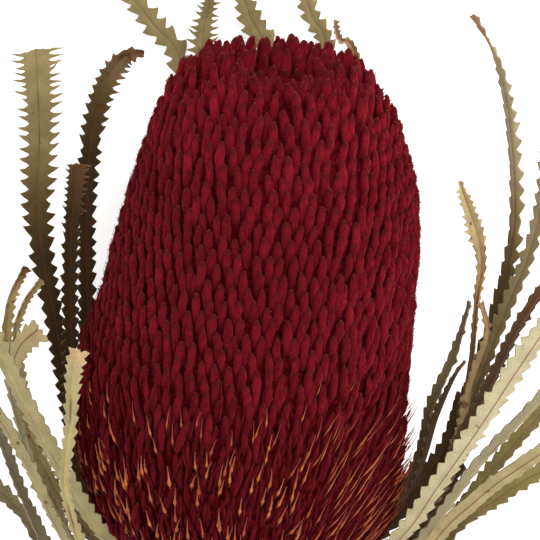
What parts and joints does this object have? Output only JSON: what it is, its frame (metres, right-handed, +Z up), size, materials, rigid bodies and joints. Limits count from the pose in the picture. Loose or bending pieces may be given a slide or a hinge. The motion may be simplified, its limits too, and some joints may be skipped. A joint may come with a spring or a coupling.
{
  "type": "banksia cone",
  "caption": "Dried banksia flower head, a woolly spindle of packed flower limbs with wiry styles, on its cut stem with long saw-toothed leaves, lying on its side.",
  "frame": {"origin": "centre of the bounding box's bottom, on the surface that the part lies on", "axes": "+Z up, +Y along the head's level axis from its base to its top, the cut stem pointing to -Y"},
  "size_m": [0.1822, 0.264, 0.0828],
  "materials": {
    "woolly_flowers": "dyed dark crimson wool, matt, with orange-brown styles",
    "bark": "dry ridged bark, matt",
    "dry_leaf": "dry leathery leaf, olive brown inside and pale khaki felt outside"
  },
  "bodies": {
    "root": {"flower_head": "woolly_flowers", "stem": "bark", "leaf_under_1": "dry_leaf", "leaf_under_2": "dry_leaf", "leaf_under_3": "dry_leaf", "leaf_under_4": "dry_leaf", "leaf_under_5": "dry_leaf", "leaf_left_1": "dry_leaf", "leaf_left_2": "dry_leaf", "leaf_left_3": "dry_leaf", "leaf_left_4": "dry_leaf", "leaf_left_5": "dry_leaf", "leaf_left_6": "dry_leaf", "leaf_left_7": "dry_leaf", "leaf_left_8": "dry_leaf", "leaf_left_9": "dry_leaf", "leaf_left_10": "dry_leaf", "leaf_left_11": "dry_leaf", "leaf_right_1": "dry_leaf", "leaf_right_2": "dry_leaf", "leaf_right_3": "dry_leaf", "leaf_right_4": "dry_leaf", "leaf_right_5": "dry_leaf", "leaf_right_6": "dry_leaf", "leaf_right_7": "dry_leaf", "leaf_right_8": "dry_leaf", "leaf_right_9": "dry_leaf", "leaf_right_10": "dry_leaf", "leaf_right_11": "dry_leaf", "leaf_right_12": "dry_leaf", "leaf_right_13": "dry_leaf"}
  },
  "joints": []
}
